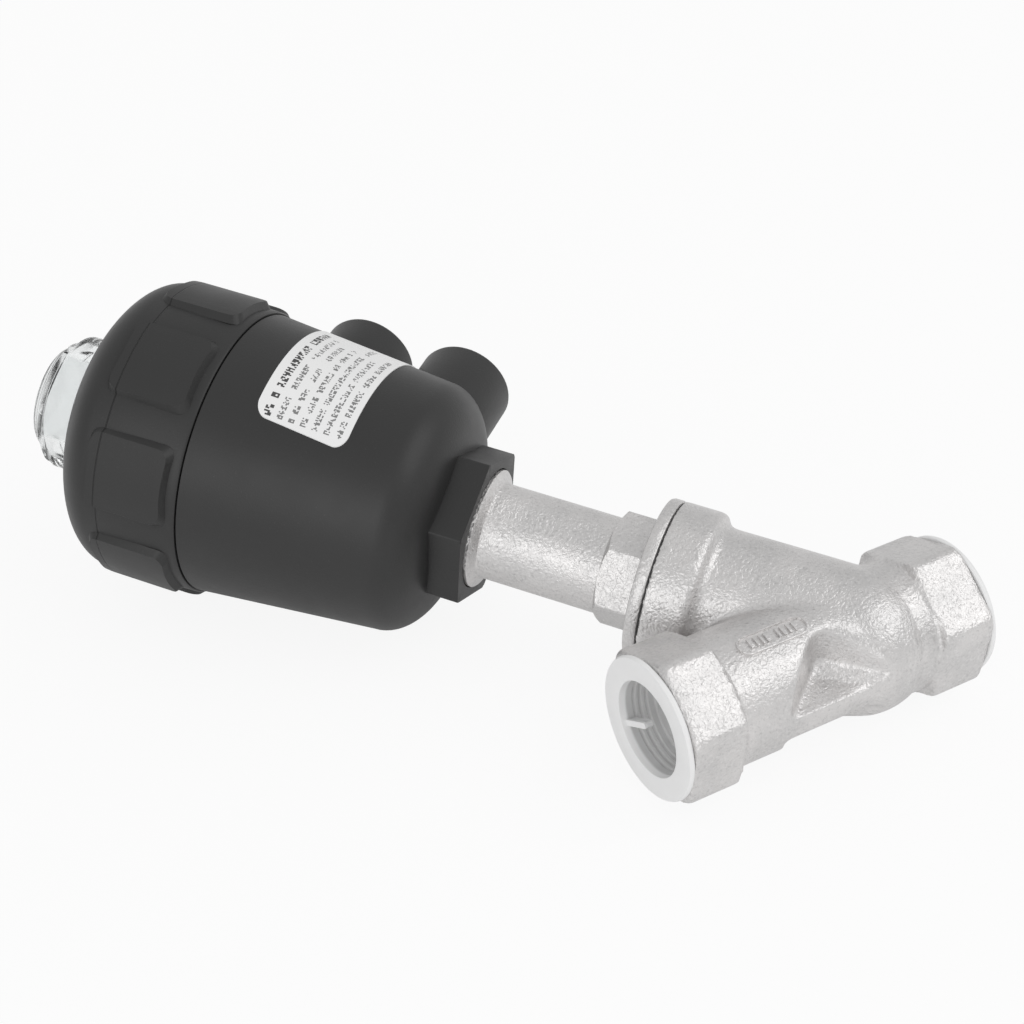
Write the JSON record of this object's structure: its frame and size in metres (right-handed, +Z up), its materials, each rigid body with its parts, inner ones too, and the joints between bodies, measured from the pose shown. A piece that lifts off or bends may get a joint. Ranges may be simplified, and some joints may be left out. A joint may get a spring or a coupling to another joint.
{
  "type": "angle seat valve",
  "caption": "Pneumatic piston-operated angle seat valve with threaded pipe ports, plastic actuator head and clear position indicator cap",
  "frame": {"origin": "under the middle of the bounding box, on the surface the valve lies on", "axes": "+X along the pipe from the inlet port to the outlet port, +Z up with the valve lying on its side, stem pointing to -X and +Y"},
  "size_m": [0.1666, 0.19, 0.0755],
  "materials": {
    "cast_stainless": "as-cast stainless steel, bead blasted, fine grain",
    "turned_stainless": "turned stainless steel",
    "actuator_plastic": "glass-filled polyamide, matte black",
    "clear_plastic": "clear polycarbonate",
    "white_plastic": "translucent white polyethylene",
    "seal_rubber": "nitrile rubber",
    "ptfe": "PTFE",
    "spring_steel": "spring steel",
    "gasket_graphite": "graphite gasket",
    "label_film": "white polyester label",
    "piston_plastic": "glass-filled polyamide",
    "indicator_plastic": "white acetal"
  },
  "bodies": {
    "body": {"valve_body": "cast_stainless", "bonnet": "cast_stainless", "bonnet_gasket": "gasket_graphite", "stem_tube": "turned_stainless", "packing_spring": "spring_steel", "packing_washer": "turned_stainless", "packing_rings": "ptfe", "packing_gland": "ptfe", "gland_snap_ring": "spring_steel", "tube_snap_ring": "spring_steel", "tube_thrust_washer": "turned_stainless"},
    "stem_group": {"valve_stem": "turned_stainless", "valve_plug": "turned_stainless", "seat_seal": "ptfe", "plug_washer": "turned_stainless", "plug_nut": "turned_stainless", "piston": "piston_plastic", "piston_lip_seal": "seal_rubber", "piston_guide_ring": "ptfe", "piston_washer": "turned_stainless", "stem_nut": "turned_stainless", "indicator_spindle": "indicator_plastic"},
    "actuator": {"actuator_housing": "actuator_plastic", "actuator_cover": "actuator_plastic", "cover_o_ring": "seal_rubber", "hub_o_ring": "seal_rubber", "indicator_cap": "clear_plastic", "cap_o_ring": "seal_rubber", "return_spring_outer": "spring_steel", "return_spring_inner": "spring_steel", "rating_label": "label_film"},
    "inlet_cap": {"inlet_protector": "white_plastic"},
    "outlet_cap": {"outlet_protector": "white_plastic"}
  },
  "joints": [
    {"name": "stem_lift", "type": "slide", "parent": "body", "child": "stem_group", "axis": [-0.6157, 0.7793, 0.117], "range_m": [0, 0.01], "stiffness_N_per_m": 4000, "springref_m": -0.02, "deforming": ["return_spring_outer", "return_spring_inner"]},
    {"name": "actuator_turn", "type": "hinge", "parent": "body", "child": "actuator", "pos_m": [0.05703, -0.07684, 0.01838], "axis": [-0.6157, 0.7793, 0.117], "continuous": true},
    {"name": "inlet_protector_pull", "type": "slide", "parent": "body", "child": "inlet_cap", "axis": [-1, 0, 0], "range_m": [0, 0.06]},
    {"name": "outlet_protector_pull", "type": "slide", "parent": "body", "child": "outlet_cap", "axis": [1, 0, 0], "range_m": [0, 0.06]}
  ]
}
